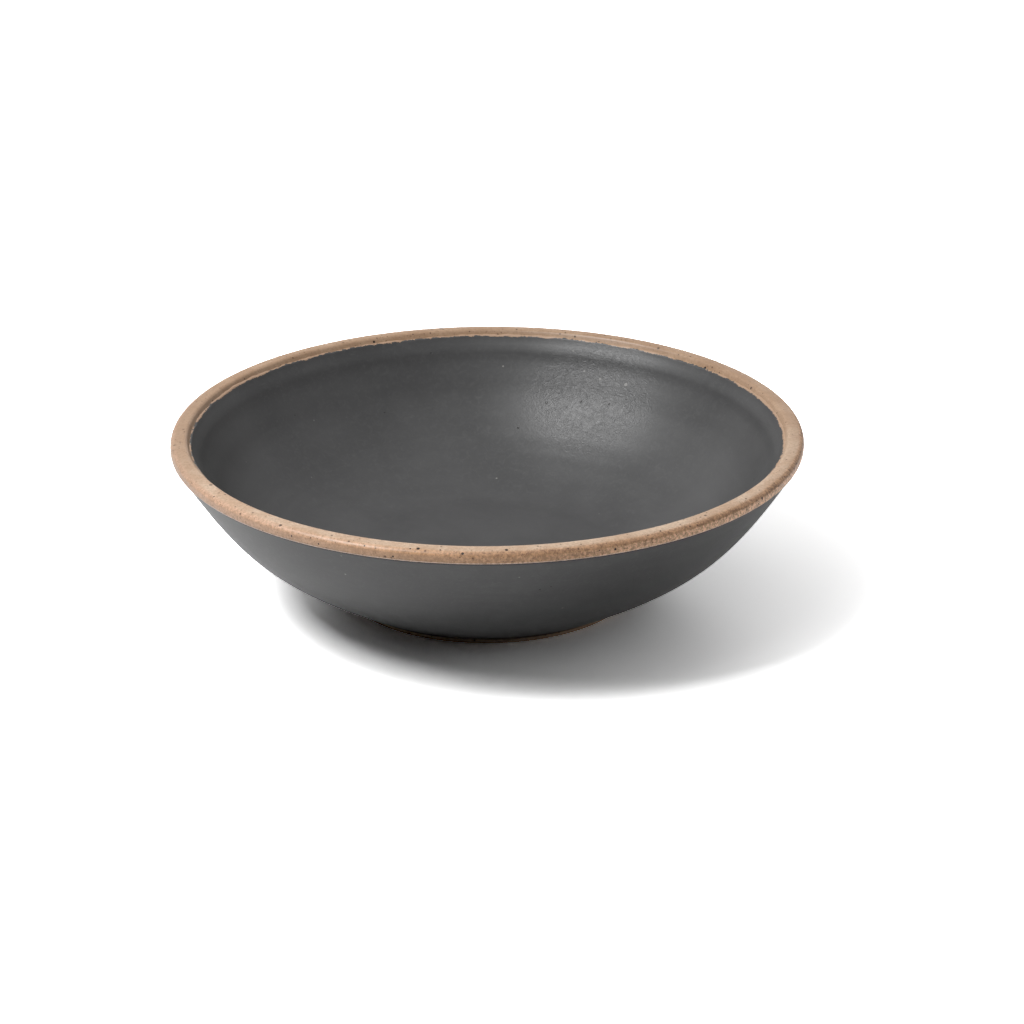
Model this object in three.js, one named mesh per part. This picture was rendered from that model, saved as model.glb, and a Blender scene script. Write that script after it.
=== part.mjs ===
// A wide stoneware bowl: one thrown and turned clay body with a bare rolled lip and a bare foot ring,
// and three coats of satin glaze that are fired onto it.
// Millimetres, +Z up. The origin is on the table, at the middle of the foot ring.
import * as THREE from "three";

// The whole bowl
const LIP_RADIUS = 120; // at the widest place, the belly of the lip
const HEIGHT = 64; // from the table to the top of the lip

// The rolled lip, whose outer side is squarish and tucked under and whose inner side is a tight roll
const LIP_ROUND = 5.1; // how far the outer side rolls over, measured inwards from the belly
const LIP_CROWN = 3.4; // how far the belly lies below the top
const LIP_UNDER = 2.1; // how far the underside would reach below the belly if it rolled on to lie level
const LIP_SQUARENESS = 3; // 2 would be an ellipse, and more is nearer to a square
const LIP_TUCK = THREE.MathUtils.degToRad(-57); // where the underside stops and meets the wall
const LIP_INNER_ROUND = 1.8; // radius of the inner roll
const LIP_INNER_SLOPE = THREE.MathUtils.degToRad(60); // slope at which the inner roll meets the inside

// The wall and floor
const WALL = 6.3; // clay thickness where the wall leaves the foot
const FLOOR = 6.8; // clay thickness over the foot well
const WALL_LOW_SLOPE = THREE.MathUtils.degToRad(28.5); // how steeply the wall leaves the foot
const WALL_HIGH_SLOPE = THREE.MathUtils.degToRad(57.5); // how steeply its outside reaches the lip
const WALL_FULLNESS = 0.9; // how far each end's tangent carries into the sweep, from 0 to 1
const FLOOR_BLEND = 5; // how softly the floor runs into the wall

// The turned foot ring
const FOOT_RADIUS = 56; // outer edge of the resting face
const FOOT_WIDTH = 6; // radial width of the ring
const FOOT_HEIGHT = 3.6; // from the table to the wall's root
const FOOT_CHAMFER = 0.7; // wiped edge on both sides of the resting face
const FOOT_FILLET = 1.6; // turned hollow between the ring and the wall
const WELL_DEPTH = 4.4; // from the table to the ceiling of the foot well, at its edge
const WELL_DRAFT = 1.8; // how far the ring's inner side leans in
const WELL_RISE = 0.8; // how much higher the ceiling is in the middle

// The soft ridge that the throwing leaves inside, below the lip
const RIDGE_HEIGHT = 0.8; // how far it stands into the bowl
const RIDGE_DROP = 8.1; // how far its crest lies below the lip's inner roll, along the wall
const RIDGE_WIDTH = 4; // from the crest to where a third of its height is left

// The glaze
const GLAZE = 0.6; // thickness of a coat
const GLAZE_EDGE = 0.25; // thickness left where a coat feathers out
const GLAZE_SEAT = 0.15; // clearance between a coat and the clay that it is fired onto
const INNER_LINE_DROP = 1.6; // from the lip's inner roll down to the inner glaze line
const OUTER_LINE_DROP = 0.3; // from the tuck down to the outer glaze line
const LINE_BAND = 3; // length of the plain stretch of clay that the inner glaze line runs along
const LINE_RAGGED = 0.5; // how far the poured edge wanders inside
const LINE_WIPED = 0.15; // how far the wiped edge wanders outside
const FOOT_LINE_GAP = 1.2; // bare clay between the foot's hollow and the outer coat
const WELL_LINE_GAP = 2.2; // bare clay between the ring and the coat in the foot well

// Facets
const AROUND = 56; // steps round the bowl
const WALL_STEPS = 9; // steps up the outer wall
const LIP_UNDER_STEPS = 4; // steps from the tuck to the belly
const LIP_STEPS = 6; // steps from the belly to the top
const LIP_INNER_STEPS = 3; // steps over the inner roll
const INNER_STEPS = 21; // steps from the middle of the floor up to the line band
const INNER_CROWDING = 1.4; // 1 would space these steps evenly, and more crowds them near the lip
const FILLET_STEPS = 3; // steps round the foot's hollow
const WELL_STEPS = 3; // steps across the well's ceiling

const point = (r, z) => new THREE.Vector2(r, z);

// Points on an arc from one angle to another, both ends included. A squareness of 2 gives an
// ellipse's arc.
function arc(centre, across, up, from, to, steps, squareness = 2) {
  const share = (x) => Math.sign(x) * Math.abs(x) ** (2 / squareness);
  return Array.from({ length: steps + 1 }, (_, i) => {
    const a = THREE.MathUtils.lerp(from, to, i / steps);
    return point(centre.x + across * share(Math.cos(a)), centre.y + up * share(Math.sin(a)));
  });
}

// A sweep that leaves one point at one slope and reaches the other at another slope.
function sweep(start, startSlope, end, endSlope) {
  const out = point(Math.cos(startSlope), Math.sin(startSlope));
  const back = point(-Math.cos(endSlope), -Math.sin(endSlope));
  const chord = end.clone().sub(start);
  const turn = out.cross(back);
  const startReach = chord.cross(back) / turn; // to where the two tangents cross
  const endReach = chord.cross(out) / turn;
  return new THREE.CubicBezierCurve(
    start,
    start.clone().addScaledVector(out, WALL_FULLNESS * startReach),
    end.clone().addScaledVector(back, WALL_FULLNESS * endReach),
    end,
  );
}

// The larger of two heights, with the corner between them rounded.
const softMax = (a, b, blend) => (a + b + Math.hypot(a - b, blend)) / 2;

// The line at an even distance to the left of an open line of points, mitred at its corners. An end
// on the bowl's axis stays on it.
function offset(points, distance) {
  const normals = points.slice(1).map((p, i) => {
    const d = p.clone().sub(points[i]).normalize();
    return point(-d.y, d.x);
  });
  return points.map((p, i) => {
    const before = normals[Math.max(i - 1, 0)];
    const after = normals[Math.min(i, normals.length - 1)];
    const share = distance / (1 + before.dot(after));
    const moved = p.clone().addScaledVector(before.clone().add(after), share);
    return p.x === 0 ? point(0, moved.y) : moved;
  });
}

// The foot ring, from the edge of the well's ceiling down, across the resting face and up to the wall.
const wellEdge = point(FOOT_RADIUS - FOOT_WIDTH - WELL_DRAFT, WELL_DEPTH);
const wallRoot = point(
  FOOT_RADIUS + FOOT_FILLET * (1 + Math.sin(WALL_LOW_SLOPE)),
  FOOT_HEIGHT,
);
function footSection() {
  const filletCentre = point(
    FOOT_RADIUS + FOOT_FILLET,
    FOOT_HEIGHT - FOOT_FILLET * Math.cos(WALL_LOW_SLOPE),
  );
  return [
    wellEdge,
    point(FOOT_RADIUS - FOOT_WIDTH, FOOT_CHAMFER),
    point(FOOT_RADIUS - FOOT_WIDTH + FOOT_CHAMFER, 0),
    point(FOOT_RADIUS - FOOT_CHAMFER, 0),
    point(FOOT_RADIUS, FOOT_CHAMFER),
    ...arc(
      filletCentre,
      FOOT_FILLET,
      FOOT_FILLET,
      Math.PI,
      Math.PI / 2 + WALL_LOW_SLOPE,
      FILLET_STEPS,
    ),
  ];
}

// The well's ceiling, from the middle out to its edge: a shallow dome.
function wellCeiling() {
  return Array.from({ length: WELL_STEPS + 1 }, (_, i) => {
    const share = i / WELL_STEPS;
    return point(wellEdge.x * share, WELL_DEPTH + WELL_RISE * (1 - share ** 2));
  });
}

// The lip's outer roll, from the tuck to the belly and on to the top.
const lipMiddle = point(LIP_RADIUS - LIP_ROUND, HEIGHT - LIP_CROWN);
const lipUnder = arc(
  lipMiddle,
  LIP_ROUND,
  LIP_UNDER,
  LIP_TUCK,
  0,
  LIP_UNDER_STEPS,
  LIP_SQUARENESS,
);
const lipOver = arc(lipMiddle, LIP_ROUND, LIP_CROWN, 0, Math.PI / 2, LIP_STEPS, LIP_SQUARENESS);
// The inner roll, from the top down to the inside.
const lipInner = arc(
  point(lipMiddle.x, HEIGHT - LIP_INNER_ROUND),
  LIP_INNER_ROUND,
  LIP_INNER_ROUND,
  Math.PI / 2,
  Math.PI / 2 + LIP_INNER_SLOPE,
  LIP_INNER_STEPS,
);

// The outer wall, from its root at the foot up to the lip's tuck.
function outerWall() {
  const curve = sweep(wallRoot, WALL_LOW_SLOPE, lipUnder[0], WALL_HIGH_SLOPE);
  return curve.getSpacedPoints(WALL_STEPS);
}

// The clay's inner face without its ridge, from the middle of the floor up to the plain stretch
// that carries the glaze line. The floor is level, and rises softly into the wall.
const innerTop = lipInner.at(-1);
const floorHeight = WELL_DEPTH + WELL_RISE + FLOOR;
function smoothInnerFace() {
  const rise = point(-Math.sin(WALL_LOW_SLOPE), Math.cos(WALL_LOW_SLOPE));
  const root = wallRoot.clone().addScaledVector(rise, WALL);
  const band = point(
    innerTop.x - LINE_BAND * Math.cos(LIP_INNER_SLOPE),
    innerTop.y - LINE_BAND * Math.sin(LIP_INNER_SLOPE),
  );
  const axis = point(0, root.y - root.x * Math.tan(WALL_LOW_SLOPE));
  const raw = new THREE.CurvePath();
  raw.add(new THREE.LineCurve(axis, root));
  raw.add(sweep(root, WALL_LOW_SLOPE, band, LIP_INNER_SLOPE));
  return Array.from({ length: INNER_STEPS + 1 }, (_, i) => {
    const p = raw.getPoint(1 - (1 - i / INNER_STEPS) ** INNER_CROWDING);
    const low = softMax(p.y, floorHeight, FLOOR_BLEND);
    const lift = 1 - THREE.MathUtils.smoothstep(p.y, floorHeight, band.y);
    return point(p.x, THREE.MathUtils.lerp(p.y, low, lift));
  });
}

// The clay's whole inner face, from the middle of the floor up to the lip's inner roll. The ridge
// moves each point into the bowl by a share that falls off with its distance from the crest.
const innerFace = ridgedInnerFace();
function ridgedInnerFace() {
  const smooth = smoothInnerFace();
  const face = [innerTop];
  let below = LINE_BAND;
  for (let i = INNER_STEPS; i > 0; i -= 1) {
    const above = smooth[i + 1] ?? innerTop;
    const along = above.clone().sub(smooth[i - 1]).normalize();
    const into = point(-along.y, along.x);
    const share = Math.exp(-(((below - RIDGE_DROP) / RIDGE_WIDTH) ** 2));
    face.unshift(smooth[i].clone().addScaledVector(into, RIDGE_HEIGHT * share));
    below += smooth[i].distanceTo(smooth[i - 1]);
  }
  return [smooth[0], ...face];
}

// How far a glaze line wanders at one angle, from -1 to 1, as a few waves that close on themselves.
function wander(angle) {
  const waves = Math.sin(5 * angle + 1) + Math.sin(11 * angle + 4) + Math.sin(19 * angle + 2);
  return waves / 3;
}

// A point part of the way back along the last stretch of a line, measured from its end.
function backFromEnd(points, distance) {
  const end = points.at(-1);
  const way = points.at(-2).clone().sub(end).normalize();
  return end.clone().addScaledVector(way, distance);
}

// A coat of glaze over a line of clay, as a closed section. Both ends may stop short of the line's
// ends, inside its first and last stretch, and an end that stops short feathers out.
function coat(line, startGap, endGap) {
  const cut = [...line];
  if (endGap > 0) cut[cut.length - 1] = backFromEnd(cut, endGap);
  if (startGap > 0) cut[0] = backFromEnd([...cut].reverse(), startGap);
  const under = offset(cut, GLAZE_SEAT);
  const face = offset(cut, GLAZE_SEAT + GLAZE);
  const edge = offset(cut, GLAZE_SEAT + GLAZE_EDGE);
  const feather = GLAZE - GLAZE_EDGE;
  if (endGap > 0) {
    face[face.length - 1] = backFromEnd(face, feather);
    face.push(edge.at(-1));
  }
  if (startGap > 0) {
    face[0] = backFromEnd([...face].reverse(), feather);
    face.unshift(edge[0]);
  }
  return [...under, ...face.reverse()];
}

// Turns a section round the Z axis. sectionAt gives it at an angle, anticlockwise with the radius
// to the right and Z up, always with as many points. Points on the axis meet in one.
function turned(sectionAt) {
  const sections = Array.from({ length: AROUND }, (_, i) => {
    const angle = (2 * Math.PI * i) / AROUND;
    return sectionAt(angle).map(
      (p) => new THREE.Vector3(p.x * Math.cos(angle), p.x * Math.sin(angle), p.y),
    );
  });
  const corners = [];
  const face = (a, b, c) => {
    if (!a.equals(b) && !b.equals(c) && !c.equals(a)) corners.push(a, b, c);
  };
  sections.forEach((here, i) => {
    const next = sections[(i + 1) % AROUND];
    here.forEach((p, j) => {
      const k = (j + 1) % here.length;
      face(p, next[j], next[k]);
      face(p, next[k], here[k]);
    });
  });
  const geometry = new THREE.BufferGeometry().setFromPoints(corners);
  geometry.computeVertexNormals();
  return geometry;
}

function clayBody() {
  const below = [...wellCeiling(), ...footSection().slice(1), ...outerWall().slice(1)];
  const lip = [...lipUnder.slice(1), ...lipOver.slice(1), ...lipInner.slice(1, -1)];
  const section = [...below, ...lip, ...[...innerFace].reverse()];
  return turned(() => section);
}

function innerGlaze() {
  return turned((angle) =>
    coat(innerFace, 0, INNER_LINE_DROP + LINE_RAGGED * wander(angle)),
  );
}

function outerGlaze() {
  const downwards = outerWall().reverse();
  return turned((angle) =>
    coat(downwards, OUTER_LINE_DROP + LINE_WIPED * wander(angle), FOOT_LINE_GAP),
  );
}

function footWellGlaze() {
  const inwards = wellCeiling().reverse();
  return turned(() => coat(inwards, WELL_LINE_GAP, 0));
}

const bareClay = new THREE.MeshStandardMaterial({ color: 0xb8906f, roughness: 0.7, metalness: 0 });
const charcoalGlaze = new THREE.MeshStandardMaterial({ color: 0x4b4b4c, roughness: 0.42, metalness: 0 });

function piece(name, geometry, material) {
  const mesh = new THREE.Mesh(geometry, material);
  mesh.name = name;
  return mesh;
}

const bowl = new THREE.Group();
bowl.name = "stoneware_bowl";
bowl.add(
  piece("clay_body", clayBody(), bareClay),
  piece("inner_glaze", innerGlaze(), charcoalGlaze),
  piece("outer_glaze", outerGlaze(), charcoalGlaze),
  piece("foot_well_glaze", footWellGlaze(), charcoalGlaze),
);

export default bowl;
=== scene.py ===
"""A wide stoneware bowl with a bare rolled lip and charcoal glaze, on a white table.

The scene is in metres, and the bowl's own sizes below are in millimetres. It stands on z = 0, and
the camera is on the -y side.
"""
import math

import bpy
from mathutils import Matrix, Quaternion, Vector


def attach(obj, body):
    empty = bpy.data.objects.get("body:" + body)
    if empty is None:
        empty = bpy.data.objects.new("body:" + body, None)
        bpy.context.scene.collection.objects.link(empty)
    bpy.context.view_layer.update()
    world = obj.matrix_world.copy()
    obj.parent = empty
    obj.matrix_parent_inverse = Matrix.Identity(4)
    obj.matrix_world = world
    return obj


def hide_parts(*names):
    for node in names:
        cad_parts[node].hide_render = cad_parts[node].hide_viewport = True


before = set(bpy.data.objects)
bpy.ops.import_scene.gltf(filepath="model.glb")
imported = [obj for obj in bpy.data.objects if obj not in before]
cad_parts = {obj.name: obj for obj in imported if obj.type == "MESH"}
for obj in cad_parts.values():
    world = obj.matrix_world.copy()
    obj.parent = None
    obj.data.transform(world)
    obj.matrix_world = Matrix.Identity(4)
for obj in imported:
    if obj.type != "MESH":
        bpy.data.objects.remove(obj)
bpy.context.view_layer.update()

MM = 0.001

# The bowl's sizes in millimetres, the same as the CAD model's.
LIP_RADIUS = 120
HEIGHT = 64
LIP_ROUND = 5.1
LIP_CROWN = 3.4
LIP_UNDER = 2.1
LIP_SQUARE = 3
LIP_TUCK = math.radians(-57)
LIP_INNER_ROUND = 1.8
LIP_BAND_SLOPE = math.radians(60)
WALL = 6.3
FLOOR = 6.8
WALL_LOW_SLOPE = math.radians(28.5)
WALL_HIGH_SLOPE = math.radians(57.5)
WALL_FULLNESS = 0.9
FLOOR_BLEND = 5
FOOT_RADIUS = 56
FOOT_WIDTH = 6
FOOT_HEIGHT = 3.6
FOOT_CHAMFER = 0.7
FOOT_FILLET = 1.6
WELL_DEPTH = 4.4
WELL_DRAFT = 1.8
WELL_RISE = 0.8
LINE_BAND = 3

# The glaze coats. On the real bowl they are fused to the clay, so they start just inside it.
GLAZE_OUT = 0.42  # how far a coat's face stands off the clay
GLAZE_IN = -0.15  # how far its back lies off the clay
GLAZE_THIN = 1.0  # how much of the line a coat's thinning edge takes up
GLAZE_BEAD = 0.45  # the share of that over which it drops most
INNER_LINE_DROP = 1.1
INNER_LINE_SEEN = 1.6  # where the glaze is thick enough to hide the clay
OUTER_LINE_BURIED = 0.6  # how far the outer coat carries on into the lip's underside
FOOT_LINE_GAP = 1.2
WELL_LINE_GAP = 2.2

# Marks of the making, in millimetres. A drop is a distance below the lip, along the inside.
LIP_RIDGE = (8.1, 0.46, 2.1)  # its drop, height and width
RIDGE_SIDE = math.radians(40)  # where the ridge is highest, going round
RIDGE_EVEN = 0.7  # the part of its height that is the same all round
RINGS = (  # drop, height and width of the rings that the fingers leave
    (18.8, 0.1, 3.5), (30, 0.05, 1.8), (37, 0.22, 6.0), (41, 0.08, 2.1), (52, -0.1, 2.0), (82, -0.3, 5.0),
)
RING_DRIFT = (1.2, 0.5)  # how far the rings wander, once and three times round
LINE_RAGGED = 0.45  # how far the inner glaze line wanders
LINE_WAVES = (  # size, count and start of its waves
    (0.4, 5, 1.0), (0.26, 11, 4.0), (0.2, 19, 2.0), (0.2, 43, 0.5),
    (0.18, 71, 3.1), (0.16, 109, 1.7), (0.15, 157, 5.1), (0.13, 211, 2.6),
)
LINE_NICKS = (1.8, 1.4)  # the line's fine and coarse nicks, which are in the glaze's colour alone
NICKS_MIDDLE = (1.57, 1.65)  # what they come to on average, a little below and above
INSIDE_REACH = (-1.2, 2)  # how far below and above the inside's line the fingers mark the clay

# Heights over which the finish changes, in millimetres. Four are a band: where it starts, where it
# is full from and to, and where it ends.
SHOULDER = (61.8, 62.3, 63.4, 63.65)  # the lip's shoulder, darkened by specks and by painted shade
LIP_FACE = (58.3, 58.7, 61.9, 62.4)  # the face below the shoulder
LIT_LIP_EDGE = (58.5, 58.8, 59.4, 59.8)  # a painted highlight along the lip's lower edge
FOOT_SHADE = (1.3, 2.0)  # where painted shade turns the foot dark
FOOT_END = (30, 20)  # clay above this isn't the foot's
FILLET_SHADE_HEIGHTS = (6.8, 5.6)  # where painted shade darkens the glaze in the hollow above the foot
UNDER_LIP_SHADE_HEIGHTS = (58.0, 58.5)  # where painted shade darkens the outer coat under the lip
WALL_SHADE_HEIGHTS = (14, 30)  # where the painted shade on the outer coat is full
WALL_LOW = (22, 12)  # where painted light makes it lighter again, near the foot

# Radii, and places from left (-x) to right and from front (-y) to back, in millimetres
LIP_BROWN = (117.6, 119.2)  # where the lip's clay turns from pale to brown
FILLET_SHADE_RADIUS = (55, 57)  # the painted shade above the foot lies outside it
# where painted light pales the lip's face to the left
LEFT = (-20, -90)
# where painted shade darkens the lip's far left end
FAR_LEFT = (-96, -116)
# where the lip's grain coarsens, the painted shade on its shoulder grows and that on its face fades
RIGHT = (-28, 12)
# where painted light pales the lip's face to the far right
FAR_RIGHT = (15, 65)
# where painted shade darkens the lip's clay towards the back
BACK = (-60, 40)
# where the painted shade on the outer coat grows to the sides
WALL_LEFT = (-45, -75)
WALL_RIGHT = (-20, 60)

# The spots that stand out: x, y, z and radius in millimetres
IRON_SPOTS = (
    (6.5, -117.5, 63.8, 0.62), (-24.5, -115.5, 63.7, 0.62), (-8.9, -118.9, 63.1, 0.5),
    (86.7, 72.0, 62.0, 0.5), (-45.6, 103.4, 62.5, 0.5), (103.2, 46.4, 62.8, 0.5),
    (99.8, -66.5, 62.0, 0.5), (44.9, -111.3, 61.2, 0.42), (-27.3, -115.3, 63.6, 0.36),
    (47.9, 105.4, 64.0, 0.4), (-117.7, -13.5, 63.6, 0.38), (-60.0, -103.9, 60.8, 0.36),
    (35.8, 107.4, 62.9, 0.36), (-33.4, -115.3, 60.6, 0.36), (-69.8, -97.6, 61.3, 0.36),
    (-16.7, -116.9, 63.7, 0.32), (-99.4, -64.9, 63.4, 0.32), (61.2, -100.9, 63.7, 0.32),
    (-115.6, -11.4, 64.0, 0.34), (-43.5, -111.1, 63.0, 0.32), (-95.4, -64.4, 64.0, 0.32),
    (109.2, -48.0, 63.0, 0.32),
)
PINHOLES = (
    (24.0, 94.0, 39.3, 0.45), (37.9, 90.7, 40.8, 0.45), (49.1, 85.9, 41.6, 0.42),
    (12.6, 87.7, 30.9, 0.38), (18.4, -108.1, 44.5, 0.42),
)
WHITE_SPECKS = (
    (55.8, 88.1, 49.2, 0.7), (6.6, 105.3, 51.1, 0.4), (39.3, 98.1, 51.4, 0.4),
    (45.6, 94.0, 49.5, 0.5), (-51.0, -98.8, 46.7, 0.42), (3.6, 66.9, 17.5, 0.4),
)
CRYSTALS = Vector((43, 90, 43)) * MM  # where the glaze is roughest
CRYSTAL_REACH = (36, 14)

# Spots all over: the size of their cells and their radius in metres, the share of cells, and a seed
DUST = (0.0011, 0.0003, 0.5, 2.3)
FLECKS = (0.0022, 0.00048, 0.6, 7.7)
IRON = (0.0046, 0.0008, 0.25, 3.1)
PINS = (0.009, 0.00045, 0.15, 1.3)
SEEDS = (0.008, 0.00045, 0.3, 5.9)

# Colours. A pair is what the clouds in a material vary between.
PALE_CLAY = ((0.52, 0.355, 0.24), (0.60, 0.45, 0.33))
# painted shade: the lip's clay towards the back
SHADED_BACK_CLAY = ((0.39, 0.25, 0.158), (0.44, 0.295, 0.193))
BROWN_CLAY = ((0.58, 0.335, 0.185), (0.65, 0.385, 0.225))
# painted light: the lip's face to the left, where it turns to the lamp
LIT_LEFT_BROWN = (0.65, 0.435, 0.315)
# painted shade on the lip's face
SHADED_FACE_CLAY = (0.38, 0.25, 0.17)
# painted light on the lip's face to the far right
LIT_FACE_CLAY = (0.96, 0.60, 0.38)
# painted shade at the lip's far left end
SHADED_LEFT_CLAY = (0.30, 0.19, 0.12)
# painted highlight: the lip's lower edge
LIT_EDGE_CLAY = (0.88, 0.65, 0.52)
GRAIN_BROWN = (0.26, 0.155, 0.092)
SPECKLE_BROWN = (0.13, 0.07, 0.038)
# specks and painted shade on the lip's shoulder
SPECKLED_SHADE_CLAY = (0.20, 0.115, 0.068)
DUST_BROWN = (0.2, 0.12, 0.07)
FLECK_BROWN = (0.09, 0.05, 0.03)
IRON_BROWN = (0.045, 0.026, 0.017)
IRON_BLACK = (0.02, 0.012, 0.008)
# painted shade: the foot in the shadow above its resting face
SHADED_FOOT_CLAY = (0.035, 0.02, 0.012)
GLAZE_GREY = ((0.053, 0.053, 0.054), (0.067, 0.067, 0.068))
STREAK_GREY = (0.10, 0.102, 0.10)
# painted shade and painted light on the outer coat
WALL_SHADE_BLACK = (0.02, 0.02, 0.02)
LOW_LIT_GREY = (0.10, 0.10, 0.10)
MOTTLE_GREY = (0.09, 0.09, 0.09)
PIN_BLACK = (0.012, 0.011, 0.01)
SEED_GREY = (0.22, 0.215, 0.205)
HOLE_BLACK = (0.008, 0.007, 0.006)
SPECK_WHITE = (0.40, 0.39, 0.37)
# painted shade in the hollow above the foot
FILLET_SHADE_BLACK = (0.008, 0.006, 0.004)
# painted shadow: the line under the lip
UNDER_LIP_SHADE_BLACK = (0.012, 0.01, 0.009)
STAINED_CLAY = (0.42, 0.275, 0.18)  # seen where the glaze line is nicked

AROUND = 384  # steps round the bowl
FINE_AROUND = 720  # and for the coat with the ragged line

# The camera and the place in the photograph
CAMERA_PIVOT = 0.8 * HEIGHT  # how high up the axis the point lies that it is measured from
CAMERA_FAR = 1.44
CAMERA_UP = math.radians(21.47)
CAMERA_ROLL = math.radians(-0.2)
AIM = Vector((0.00923, -0.00726, 0.03305))
LENS = 133.0
SENSOR = 36

# The light of the room
SKY_SIDE = (0.321, 0.557, 0.766)  # where it is brightest
SKY_LEVEL = 0.61
SKY_MIRRORED = (0.16, 0.42)  # what the glaze shows of it: an even level, and the bright side
TABLE_SEEN = (2.24, 2.24, 2.24)  # the table's colour to the camera, which leaves only its shadow
TABLE_LIT = (0.68, 0.68, 0.68)  # and as a light on the bowl
TABLE_MIRRORED = (1.0, 1.0, 1.0)
LAMPS = (  # name, place, size, watts, and whether the glaze mirrors it
    ("key_light", (-0.774, -0.396, 1.271), (0.5, 0.55), 15.2, True),
    ("side_light", (-0.804, -0.186, 1.300), (0.27, 0.27), 6.9, True),
    ("back_light", (0, 1.584, 0.223), (0.7, 0.7), 15.3, False),
    ("right_light", (1.584, 0, 0.223), (0.7, 0.7), 2.8, False),
    ("high_light", (-0.478, -0.478, 1.45), (0.7, 0.7), 2.1, False),
    ("left_light", (-1.025, 1.025, 0.676), (0.7, 0.7), 1.3, True),
)


# Sections are lists of (radius, height) in millimetres.

def along(a, b, share):
    return (a[0] + (b[0] - a[0]) * share, a[1] + (b[1] - a[1]) * share)


def distance(a, b):
    return math.hypot(b[0] - a[0], b[1] - a[1])


def arc(centre, across, up, start, end, steps):
    angles = (start + (end - start) * i / steps for i in range(steps + 1))
    return [(centre[0] + across * math.cos(a), centre[1] + up * math.sin(a)) for a in angles]


def spaced(points, steps):
    """The same line with evenly spaced points."""
    lengths = [0]
    for a, b in zip(points, points[1:]):
        lengths.append(lengths[-1] + distance(a, b))
    made = []
    piece = 0
    for i in range(steps + 1):
        goal = lengths[-1] * i / steps
        while piece < len(points) - 2 and lengths[piece + 1] < goal:
            piece += 1
        share = (goal - lengths[piece]) / (lengths[piece + 1] - lengths[piece])
        made.append(along(points[piece], points[piece + 1], share))
    return made


def sweep(start, start_slope, end, end_slope, steps):
    """A curve that leaves one point at one slope and reaches the other at another."""
    out = (math.cos(start_slope), math.sin(start_slope))
    back = (-math.cos(end_slope), -math.sin(end_slope))
    chord = (end[0] - start[0], end[1] - start[1])
    turn = out[0] * back[1] - out[1] * back[0]
    start_reach = WALL_FULLNESS * (chord[0] * back[1] - chord[1] * back[0]) / turn
    end_reach = WALL_FULLNESS * (chord[0] * out[1] - chord[1] * out[0]) / turn
    b = (start[0] + out[0] * start_reach, start[1] + out[1] * start_reach)
    c = (end[0] + back[0] * end_reach, end[1] + back[1] * end_reach)
    curve = []
    for i in range(4 * steps + 1):
        t = i / (4 * steps)
        weights = ((1 - t) ** 3, 3 * (1 - t) ** 2 * t, 3 * (1 - t) * t * t, t ** 3)
        curve.append(tuple(sum(w * p[k] for w, p in zip(weights, (start, b, c, end))) for k in (0, 1)))
    return spaced(curve, steps)


def offset(points, gap):
    """The line at an even distance to the left of another, mitred at its corners."""
    normals = []
    for a, b in zip(points, points[1:]):
        size = distance(a, b)
        normals.append((-(b[1] - a[1]) / size, (b[0] - a[0]) / size))
    made = []
    for i, p in enumerate(points):
        n = normals[max(i - 1, 0)]
        m = normals[min(i, len(normals) - 1)]
        share = gap / (1 + n[0] * m[0] + n[1] * m[1])
        made.append((p[0] + (n[0] + m[0]) * share, p[1] + (n[1] + m[1]) * share))
    return made


WELL_EDGE = (FOOT_RADIUS - FOOT_WIDTH - WELL_DRAFT, WELL_DEPTH)
WALL_ROOT = (FOOT_RADIUS + FOOT_FILLET * (1 + math.sin(WALL_LOW_SLOPE)), FOOT_HEIGHT)


def well_ceiling(steps=12):
    shares = (i / steps for i in range(steps + 1))
    return [(WELL_EDGE[0] * s, WELL_DEPTH + WELL_RISE * (1 - s * s)) for s in shares]


def foot_section():
    inner = FOOT_RADIUS - FOOT_WIDTH
    return (
        [WELL_EDGE, (inner, FOOT_CHAMFER)]
        + arc((inner + FOOT_CHAMFER, FOOT_CHAMFER), FOOT_CHAMFER, FOOT_CHAMFER,
              math.radians(190), math.radians(270), 5)
        + arc((FOOT_RADIUS - FOOT_CHAMFER, FOOT_CHAMFER), FOOT_CHAMFER, FOOT_CHAMFER,
              math.radians(-90), 0, 6)
        + arc((FOOT_RADIUS + FOOT_FILLET, FOOT_HEIGHT - FOOT_FILLET * math.cos(WALL_LOW_SLOPE)),
              FOOT_FILLET, FOOT_FILLET, math.pi, math.pi / 2 + WALL_LOW_SLOPE, 10)
    )


def lip_roll(steps=28):
    """The outside of the lip, from its tuck to its top: an ellipse drawn out towards a square."""
    made = []
    for i in range(steps + 1):
        angle = LIP_TUCK + (math.pi / 2 - LIP_TUCK) * i / steps
        across = abs(math.cos(angle)) ** (2 / LIP_SQUARE)
        up = abs(math.sin(angle)) ** (2 / LIP_SQUARE)
        rise = LIP_CROWN * up if angle > 0 else -LIP_UNDER * up
        made.append((LIP_RADIUS - LIP_ROUND * (1 - across), HEIGHT - LIP_CROWN + rise))
    return made


def lip_inner_roll(steps=8):
    centre = (LIP_RADIUS - LIP_ROUND, HEIGHT - LIP_INNER_ROUND)
    return arc(centre, LIP_INNER_ROUND, LIP_INNER_ROUND, math.pi / 2, math.pi / 2 + LIP_BAND_SLOPE, steps)


def outer_wall(steps=48):
    return sweep(WALL_ROOT, WALL_LOW_SLOPE, lip_roll()[0], WALL_HIGH_SLOPE, steps)


def smooth_step(value, low, high):
    t = min(max((value - low) / (high - low), 0), 1)
    return t * t * (3 - 2 * t)


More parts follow.
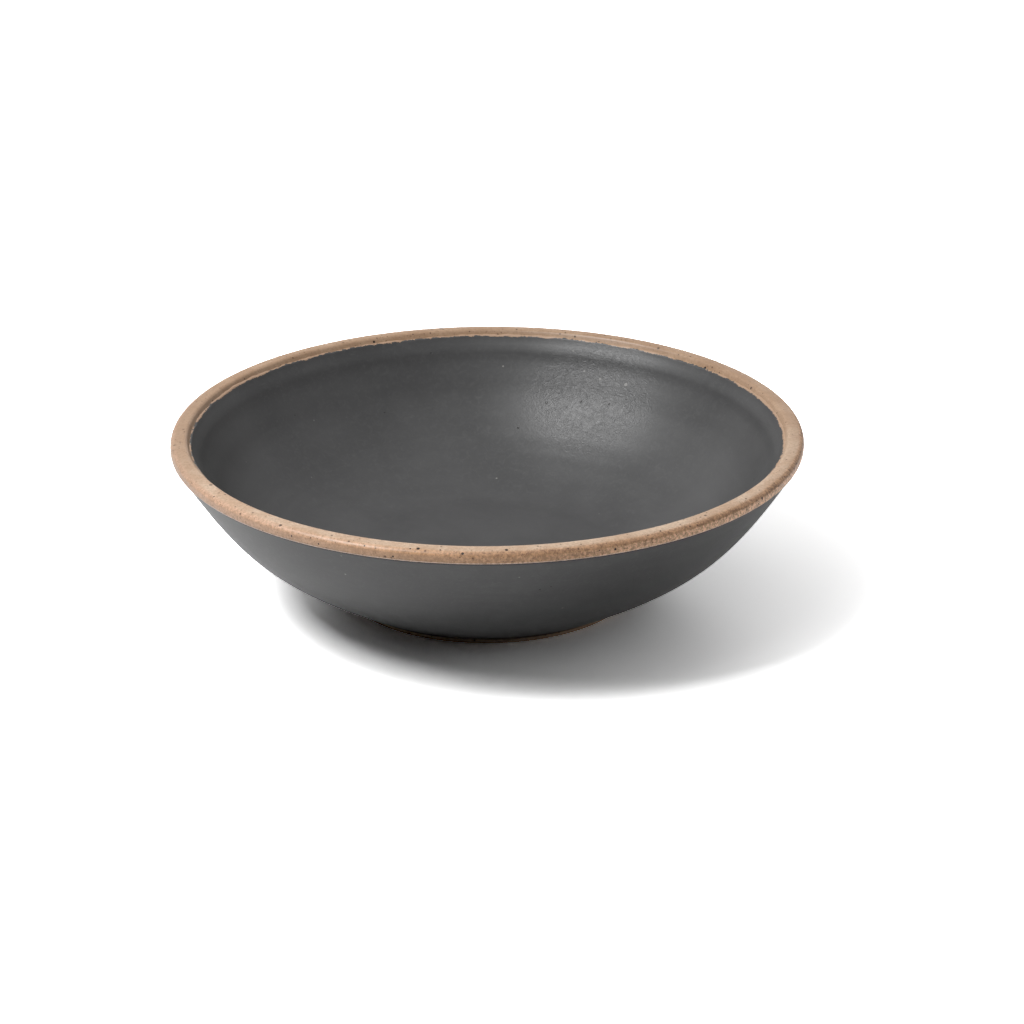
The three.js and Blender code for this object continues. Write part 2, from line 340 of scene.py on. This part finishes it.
def inner_face(steps=72):
    """The inside, from the middle of the floor up to the lip, before the fingers mark it."""
    top = lip_inner_roll()[-1]
    band = (top[0] - LINE_BAND * math.cos(LIP_BAND_SLOPE), top[1] - LINE_BAND * math.sin(LIP_BAND_SLOPE))
    root = (WALL_ROOT[0] - WALL * math.sin(WALL_LOW_SLOPE), WALL_ROOT[1] + WALL * math.cos(WALL_LOW_SLOPE))
    axis = (0, root[1] - root[0] * math.tan(WALL_LOW_SLOPE))
    floor = WELL_DEPTH + WELL_RISE + FLOOR
    raw = [axis] + sweep(root, WALL_LOW_SLOPE, band, LIP_BAND_SLOPE, steps)
    made = []
    for r, z in spaced(raw, steps):
        low = (z + floor + math.hypot(z - floor, FLOOR_BLEND)) / 2
        made.append((r, low + (z - low) * smooth_step(z, floor, band[1])))
    edge = [along(band, top, i / 6) for i in range(1, 7)]
    return made + edge


# Turning a section into a piece

def draw(name, section):
    """A line drawn by extruding one vertex from point to point. The vertex is a merged square."""
    bpy.ops.object.select_all(action="DESELECT")
    places = [Vector((r, 0, z)) * MM for r, z in section]
    bpy.ops.mesh.primitive_plane_add(size=MM, location=places[0])
    piece = bpy.context.object
    piece.name = name
    piece.data.name = name
    bpy.ops.object.transform_apply(location=True)
    bpy.ops.object.mode_set(mode="EDIT")
    bpy.ops.mesh.select_all(action="SELECT")
    bpy.ops.mesh.merge(type="CENTER")
    for here, there in zip(places, places[1:]):
        bpy.ops.mesh.extrude_region_move(TRANSFORM_OT_translate={"value": there - here})
    return piece


def turn(name, section, around):
    """A piece turned on the wheel: its section, spun once round the axis."""
    piece = draw(name, section)
    bpy.ops.mesh.select_all(action="SELECT")
    bpy.ops.mesh.spin(steps=around, angle=2 * math.pi, center=(0, 0, 0), axis=(0, 0, 1))
    bpy.ops.mesh.select_all(action="SELECT")
    bpy.ops.mesh.remove_doubles(threshold=0.002 * MM)
    bpy.ops.mesh.normals_make_consistent(inside=False)
    bpy.ops.object.mode_set(mode="OBJECT")
    bpy.ops.object.shade_smooth()
    return piece


def coat(line, start_gap, end_gap):
    """A coat of glaze over a line of clay. An end that stops short of the line thins out."""
    points = list(line)
    if end_gap:
        points = trim(points, end_gap)
    if start_gap:
        points = trim(points[::-1], start_gap)[::-1]
    back = offset(spaced(points, 16), GLAZE_IN)
    face = offset(points, GLAZE_OUT)
    if end_gap:
        face = thinned(face, back)
    if start_gap:
        face = thinned(face[::-1], back[::-1])[::-1]
    closed = back + face[::-1]
    return closed + [closed[0]] if start_gap or closed[0][0] > 0.01 else closed


def trim(points, gap):
    """The line without its last stretch."""
    left = gap
    kept = list(points)
    while distance(kept[-1], kept[-2]) < left + 0.01:
        left -= distance(kept[-1], kept[-2])
        kept.pop()
    if left > 0.01:
        kept[-1] = along(kept[-1], kept[-2], left / distance(kept[-1], kept[-2]))
    return kept


def thinned(face, back, steps=8):
    """The face with its last stretch thinned out to the back's end."""
    kept = trim(face, GLAZE_THIN)
    start = kept[-1]
    end = back[-1]
    corner = along(face[-1], start, GLAZE_BEAD)
    for i in range(1, steps):
        t = i / steps
        a = along(start, corner, t)
        b = along(corner, end, t)
        kept.append(along(a, b, t))
    return kept


def waves(angle):
    """A few waves that close on themselves, from about -1 to 1."""
    return sum(size * math.sin(count * angle + start) for size, count, start in LINE_WAVES)


def nearest(line, r):
    """How far along a rising line a radius lies, and the line's direction there."""
    low, high = 0, len(line) - 1
    while high - low > 1:
        middle = (low + high) // 2
        if line[middle][0] <= r:
            low = middle
        else:
            high = middle
    a, b = line[low], line[high]
    size = distance(a, b)
    return low, (r - a[0]) / (b[0] - a[0]), ((b[0] - a[0]) / size, (b[1] - a[1]) / size)


def finger_marks(piece, line):
    """Presses the ridge below the lip and the finger rings into the inside."""
    lengths = [0]
    for a, b in zip(line, line[1:]):
        lengths.append(lengths[-1] + distance(a, b))
    whole = lengths[-1]
    for vertex in piece.data.vertices:
        x, y, z = vertex.co / MM
        r = math.hypot(x, y)
        if r < 0.5 or r > line[-1][0] + 0.01:
            continue
        index, share, way = nearest(line, r)
        height = line[index][1] + share * (line[index + 1][1] - line[index][1])
        if z < height + INSIDE_REACH[0] or z > height + INSIDE_REACH[1]:
            continue
        here = lengths[index] + share * (lengths[index + 1] - lengths[index])
        angle = math.atan2(y, x)
        left = whole - here
        drop, rise, width = LIP_RIDGE
        rise *= RIDGE_EVEN + (1 - RIDGE_EVEN) * math.cos(angle - RIDGE_SIDE)
        press = rise * math.exp(-((left - drop) / width) ** 2)
        for i, (drop, rise, width) in enumerate(RINGS):
            drift = RING_DRIFT[0] * math.sin(angle + 1.7 * i) + RING_DRIFT[1] * math.sin(3 * angle + i)
            press += rise * math.exp(-((left - drop - drift) / width) ** 2)
        press *= smooth_step(left, 0, LINE_BAND)
        move = (-way[1] * press, way[0] * press)
        scale = 1 + move[0] / r
        vertex.co = Vector((x * scale, y * scale, z + move[1])) * MM


def glaze_line(piece, line, drop, size, reach):
    """Lets the edge of a coat wander along the clay, within a reach of its end."""
    end = line[-1]
    way = ((end[0] - line[-2][0]) / distance(end, line[-2]), (end[1] - line[-2][1]) / distance(end, line[-2]))
    for vertex in piece.data.vertices:
        x, y, z = vertex.co / MM
        r = math.hypot(x, y)
        left = (end[0] - r) * way[0] + (end[1] - z) * way[1]
        if left > reach or r < 1:
            continue
        angle = math.atan2(y, x)
        slide = size * waves(angle) * (1 - smooth_step(left, drop, reach))
        scale = 1 + way[0] * slide / r
        vertex.co = Vector((x * scale, y * scale, z + way[1] * slide)) * MM


# Materials

class Value:
    """A node's output, on which shader maths is written as plain expressions."""

    def __init__(self, finish, socket):
        self.finish = finish
        self.socket = socket

    def maths(self, operation, first, second):
        return self.finish.node("Math", {"operation": operation}, {0: first, 1: second})

    def __add__(self, other):
        return self.maths("ADD", self, other)

    __radd__ = __add__

    def __sub__(self, other):
        return self.maths("SUBTRACT", self, other)

    def __rsub__(self, other):
        return self.maths("SUBTRACT", other, self)

    def __mul__(self, other):
        return self.maths("MULTIPLY", self, other)

    __rmul__ = __mul__


class Finish:
    """A material. node() adds one node and gives its output."""

    def __init__(self, holder):
        holder.use_nodes = True
        self.tree = holder.node_tree
        self.tree.nodes.clear()

    def node(self, kind, settings=None, sockets=None, output=0):
        made = self.tree.nodes.new("ShaderNode" + kind)
        for name, value in (settings or {}).items():
            setattr(made, name, value)
        for name, value in (sockets or {}).items():
            if isinstance(value, Value):
                self.tree.links.new(value.socket, made.inputs[name])
            else:
                made.inputs[name].default_value = value
        return Value(self, made.outputs[output]) if made.outputs else None

    def place(self):
        return self.node("TexCoord", output="Object")

    def axis(self, index):
        """How far along x, y or z a point lies, in metres."""
        return self.node("SeparateXYZ", {}, {0: self.place()}, output=index)

    def turned_place(self):
        """The radius and height of a point of the bowl, in metres."""
        x, y, z = (self.axis(index) for index in range(3))
        return self.node("Math", {"operation": "SQRT"}, {0: x * x + y * y}), z

    def away(self, spot):
        """How far off a spot is."""
        return self.node("VectorMath", {"operation": "DISTANCE"}, {0: self.place(), 1: spot}, output="Value")

    def noise(self, size, detail=3, roughness=0.5, curl=0.0, flat=1.0):
        """Noise about as coarse as a size. Flattened, it lies in streaks round the bowl."""
        place = self.node("VectorMath", {"operation": "MULTIPLY"}, {0: self.place(), 1: (1, 1, flat)})
        sockets = {
            "Vector": place, "Scale": 1 / size, "Detail": detail, "Roughness": roughness, "Distortion": curl,
        }
        return self.node("TexNoise", {"noise_dimensions": "3D"}, sockets)

    def between(self, value, low, high):
        """0 below one value, 1 above the other, smooth between."""
        settings = {"interpolation_type": "SMOOTHSTEP"}
        return self.node("MapRange", settings, {0: value, 1: low, 2: high, 3: 0.0, 4: 1.0})

    def step(self, value, edges):
        """The same, with the two values in millimetres."""
        return self.between(value, edges[0] * MM, edges[1] * MM)

    def mix(self, share, a, b):
        """From colour a to colour b."""
        sockets = {0: share}
        for index, colour in ((6, a), (7, b)):
            sockets[index] = colour if isinstance(colour, Value) else (*colour, 1)
        return self.node("Mix", {"data_type": "RGBA"}, sockets, output=2)

    def spots(self, size, radius, share, seed):
        """Round spots, of about one radius, in a share of cells of one size."""
        shift = (seed, 2 * seed, 3 * seed)
        moved = self.node("VectorMath", {"operation": "ADD"}, {0: self.place(), 1: shift})
        sockets = {"Vector": moved, "Scale": 1 / size, "Randomness": 1.0}
        near = self.node("TexVoronoi", {"feature": "F1"}, sockets, output="Distance")
        lot = self.node("TexVoronoi", {"feature": "F1"}, sockets, output="Color")
        red = self.node("SeparateColor", {}, {0: lot}, output=0)
        green = self.node("SeparateColor", {}, {0: lot}, output=1)
        reach = (0.35 + 0.65 * green) * (radius / size)
        inside = self.between(reach - near, -0.12 * radius / size, 0.12 * radius / size)
        chosen = self.between(red, 1 - share, 1 - share + 0.001)
        return inside * chosen

    def dots(self, places):
        """Round spots with stated places and radii."""
        closest = 9.0
        for x, y, z, radius in places:
            away = self.away(Vector((x, y, z)) * MM) * (1 / (radius * MM))
            closest = self.node("Math", {"operation": "MINIMUM"}, {0: away, 1: closest})
        return self.between(closest, 1.15, 0.85)

    def band(self, value, edges):
        """1 in a band, from where it starts and is full to where it is full and ends."""
        a, b, c, d = edges
        return self.step(value, (a, b)) * self.step(value, (d, c))

    def surface(self, constants, varying):
        shader = self.node("BsdfPrincipled", {}, {**constants, **varying})
        self.node("OutputMaterial", {}, {"Surface": shader})


def lip_tone(f, height, outside, right):
    """The lip's clay: pale on top and brown on its outer face, with painted light and shade on the back, face
    and ends.
    """
    cloud = f.between(f.noise(0.013, 4, 0.6), 0.38, 0.62)
    across, depth = f.axis(0), f.axis(1)
    face = f.band(height, LIP_FACE)
    # painted shade darkens the lip's clay towards the back
    pale = f.mix(f.step(depth, BACK), f.mix(cloud, *PALE_CLAY), f.mix(cloud, *SHADED_BACK_CLAY))
    # painted light pales the face to the left
    brown = f.mix(0.75 * f.step(across, LEFT), f.mix(cloud, *BROWN_CLAY), LIT_LEFT_BROWN)
    # painted shade darkens the face, except to the right
    brown = f.mix(0.5 * face * (1 - right), brown, SHADED_FACE_CLAY)
    # painted light pales the face to the far right
    brown = f.mix(face * f.step(across, FAR_RIGHT), brown, LIT_FACE_CLAY)
    tone = f.mix(outside, pale, brown)
    # painted shade at the far left end
    tone = f.mix(0.45 * f.step(across, FAR_LEFT), tone, SHADED_LEFT_CLAY)
    # painted highlight along the lip's lower edge
    return f.mix(f.band(height, LIT_LIP_EDGE), tone, LIT_EDGE_CLAY)


def bare_clay():
    material = bpy.data.materials.new("bare_clay")
    f = Finish(material)
    radius, height = f.turned_place()
    outside = f.step(radius, LIP_BROWN)
    right = f.step(f.axis(0), RIGHT)
    grain = f.noise(0.0011, 4, 0.7)
    speckle = f.between(f.noise(0.0012, 3, 0.75), 0.50, 0.60)
    spots = f.dots(IRON_SPOTS)

    colour = lip_tone(f, height, outside, right)
    coarse = outside * (0.35 + 0.65 * right)
    colour = f.mix((0.3 + 0.28 * coarse) * f.between(grain, 0.60, 0.42), colour, GRAIN_BROWN)
    colour = f.mix((0.08 + 0.36 * coarse) * speckle, colour, SPECKLE_BROWN)
    # specks and painted shade darken the shoulder, the shade more on the right
    speckle_and_shade = 0.02 + 0.25 * right + (0.15 + 0.2 * right) * speckle
    colour = f.mix(speckle_and_shade * outside * f.band(height, SHOULDER), colour, SPECKLED_SHADE_CLAY)
    colour = f.mix(0.6 * f.spots(*DUST), colour, DUST_BROWN)
    colour = f.mix(0.8 * f.spots(*FLECKS), colour, FLECK_BROWN)
    colour = f.mix(0.8 * f.spots(*IRON), colour, IRON_BROWN)
    colour = f.mix(0.97 * spots, colour, IRON_BLACK)
    # painted shade on the foot, above its resting face
    foot = f.step(height, FOOT_SHADE) * f.step(height, FOOT_END)
    colour = f.mix(0.93 * foot, colour, SHADED_FOOT_CLAY)

    relief = 0.35 * grain - spots
    bump = f.node("Bump", {}, {"Strength": 0.5, "Distance": 0.0002, "Height": relief})
    rough = 0.33 + 0.15 * grain
    f.surface({"Specular IOR Level": 0.42}, {"Base Color": colour, "Roughness": rough, "Normal": bump})
    return material


def wall_light_and_shade(f, height, colour):
    """Painted shade makes the outer coat darker than the inner one, most of all to the sides; low down,
    painted light lightens it.
    """
    across = f.axis(0)
    # painted shade darkens the outer coat, most of all to the sides
    dark = 0.26 + 0.14 * f.step(across, WALL_RIGHT) + 0.3 * f.step(across, WALL_LEFT)
    colour = f.mix(dark * f.step(height, WALL_SHADE_HEIGHTS), colour, WALL_SHADE_BLACK)
    # painted light lightens it low down
    return f.mix(0.35 * f.step(height, WALL_LOW), colour, LOW_LIT_GREY)


def wall_end_shades(f, radius, height, colour):
    """Painted shade on the outer coat: in the hollow above the foot, and under the lip."""
    # painted shade in the hollow between the wall and the foot
    fillet_shade = f.step(height, FILLET_SHADE_HEIGHTS) * f.step(radius, FILLET_SHADE_RADIUS)
    colour = f.mix(0.9 * fillet_shade, colour, FILLET_SHADE_BLACK)
    # painted shadow along the top of the outer coat, under the lip
    return f.mix(0.8 * f.step(height, UNDER_LIP_SHADE_HEIGHTS), colour, UNDER_LIP_SHADE_BLACK)


def nicked_line(f, height, colour):
    """The clay shows through the inner coat along its ragged upper line."""
    line = lip_inner_roll()[-1][1] - INNER_LINE_SEEN * math.sin(LIP_BAND_SLOPE)
    fine, coarse = (size * MM for size in LINE_NICKS)
    nicks = fine * f.noise(0.0016, 4, 0.7) + coarse * f.noise(0.011, 2)
    bare = f.step(height + nicks, (line + NICKS_MIDDLE[0], line + NICKS_MIDDLE[1]))
    return f.mix(bare, colour, STAINED_CLAY)


def charcoal_glaze(name, outside=False):
    """The glaze, as it is on the outer wall or elsewhere."""
    material = bpy.data.materials.new(name)
    f = Finish(material)
    radius, height = f.turned_place()
    mottle = f.noise(0.0026, 5, 0.7, curl=1.2)
    fine = f.noise(0.0008, 3, 0.6)
    pins = f.spots(*PINS)
    holes = f.dots(PINHOLES)

    colour = f.mix(f.between(f.noise(0.035, 3), 0.3, 0.7), *GLAZE_GREY)
    streaks = f.between(f.noise(0.03, 4, 0.6, flat=9), 0.45, 0.75)
    colour = f.mix((0.27 if outside else 0.12) * streaks, colour, STREAK_GREY)
    if outside:
        colour = wall_light_and_shade(f, height, colour)
    colour = f.mix(0.5 * f.between(mottle, 0.45, 0.75), colour, MOTTLE_GREY)
    colour = f.mix(0.6 * pins, colour, PIN_BLACK)
    colour = f.mix(0.5 * f.spots(*SEEDS), colour, SEED_GREY)
    colour = f.mix(0.95 * holes, colour, HOLE_BLACK)
    colour = f.mix(0.45 * f.dots(WHITE_SPECKS), colour, SPECK_WHITE)
    if outside:
        colour = wall_end_shades(f, radius, height, colour)
    else:
        colour = nicked_line(f, height, colour)

    crystals = 0.12 + 0.8 * f.step(f.away(CRYSTALS), CRYSTAL_REACH)
    relief = crystals * (0.5 * mottle + 0.1 * fine) - 0.8 * pins - holes
    bump = f.node("Bump", {}, {"Strength": 1.0, "Distance": 0.00045, "Height": relief})
    rough = 0.33 + 0.2 * mottle
    f.surface({"Specular IOR Level": 0.55}, {"Base Color": colour, "Roughness": rough, "Normal": bump})
    return material


# The pieces

def finish(piece, material, slot, *nodes):
    piece.data.materials.clear()
    piece.data.materials.append(material)
    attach(piece, "root")
    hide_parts(*nodes)


def clay_body(material):
    inside = inner_face()
    section = (
        well_ceiling() + foot_section()[1:] + outer_wall()[1:] + lip_roll()[1:]
        + lip_inner_roll()[1:-1] + inside[::-1]
    )
    piece = turn("thrown_clay_body", section, AROUND)
    finger_marks(piece, inside)
    finish(piece, material, "bare_clay", "clay_body")


def inner_glaze(material):
    inside = inner_face()
    piece = turn("poured_inner_glaze", coat(inside, 0, INNER_LINE_DROP), FINE_AROUND)
    glaze_line(piece, inside, INNER_LINE_DROP, LINE_RAGGED, LINE_BAND)
    finger_marks(piece, inside)
    finish(piece, material, "charcoal_glaze", "inner_glaze")


def outer_glaze(material):
    wall = outer_wall()
    buried = along(wall[-2], wall[-1], 1 + OUTER_LINE_BURIED / distance(wall[-2], wall[-1]))
    piece = turn("dipped_outer_glaze", coat([buried] + wall[::-1], 0, FOOT_LINE_GAP), AROUND)
    finish(piece, material, "charcoal_glaze", "outer_glaze")


def foot_well_glaze(material):
    piece = turn("foot_well_glaze_coat", coat(well_ceiling()[::-1], WELL_LINE_GAP, 0), AROUND)
    finish(piece, material, "charcoal_glaze", "foot_well_glaze")


# The table, light and camera

def table():
    bpy.ops.object.select_all(action="DESELECT")
    bpy.ops.mesh.primitive_plane_add(size=12, location=(0, 0, 0))
    floor = bpy.context.object
    floor.name = "table_top"
    material = bpy.data.materials.new("white_table")
    f = Finish(material)
    seen = f.node("LightPath", output="Is Camera Ray")
    mirrored = f.node("LightPath", output="Is Glossy Ray")
    lit = f.mix(mirrored, TABLE_LIT, TABLE_MIRRORED)
    colour = f.mix(seen, lit, TABLE_SEEN)
    diffuse = f.node("BsdfDiffuse", {}, {"Color": colour})
    f.node("OutputMaterial", {}, {"Surface": diffuse})
    floor.data.materials.append(material)


def soft_box(name, place, size, power, mirrored):
    """A lamp that faces the bowl. One that isn't mirrored lights it without a highlight."""
    light = bpy.data.lights.new(name, "AREA")
    light.shape = "RECTANGLE"
    light.size, light.size_y = size
    light.energy = power
    lamp = bpy.data.objects.new(name, light)
    bpy.context.collection.objects.link(lamp)
    lamp.location = place
    lamp.rotation_euler = (-Vector(place)).to_track_quat("-Z", "Y").to_euler()
    lamp.visible_glossy = mirrored


def surroundings():
    """White to the eye. As light it comes from one side of the sky and fades out towards the other."""
    world = bpy.data.worlds.new("white_room")
    bpy.context.scene.world = world
    f = Finish(world)
    way = f.node("TexCoord", output="Generated")
    facing = f.node("VectorMath", {"operation": "DOT_PRODUCT"}, {0: way, 1: SKY_SIDE}, output="Value")
    bright = f.node("Math", {"operation": "MAXIMUM"}, {0: facing, 1: 0.0})
    mirrored = f.node("LightPath", output="Is Glossy Ray")
    level = (1 - mirrored) * (SKY_LEVEL * bright) + mirrored * (SKY_MIRRORED[0] + SKY_MIRRORED[1] * bright)
    seen = f.node("LightPath", output="Is Camera Ray")
    strength = seen + (1 - seen) * level
    light = f.node("Background", {}, {"Color": (1, 1, 1, 1), "Strength": strength})
    f.node("OutputWorld", {}, {"Surface": light})


def camera():
    data = bpy.data.cameras.new("camera")
    data.lens = LENS
    data.sensor_width = SENSOR
    eye = bpy.data.objects.new("camera", data)
    bpy.context.collection.objects.link(eye)
    pivot = Vector((0, 0, CAMERA_PIVOT * MM))
    eye.location = pivot + CAMERA_FAR * Vector((0, -math.cos(CAMERA_UP), math.sin(CAMERA_UP)))
    turned = (AIM - eye.location).to_track_quat("-Z", "Y") @ Quaternion((0, 0, 1), CAMERA_ROLL)
    eye.rotation_euler = turned.to_euler()
    bpy.context.scene.camera = eye


bpy.context.scene.view_settings.view_transform = "Standard"
camera()
clay = bare_clay()
glaze = charcoal_glaze("charcoal_glaze")
clay_body(clay)
inner_glaze(glaze)
outer_glaze(charcoal_glaze("charcoal_glaze_outside", outside=True))
foot_well_glaze(glaze)
table()
surroundings()
for lamp in LAMPS:
    soft_box(*lamp)
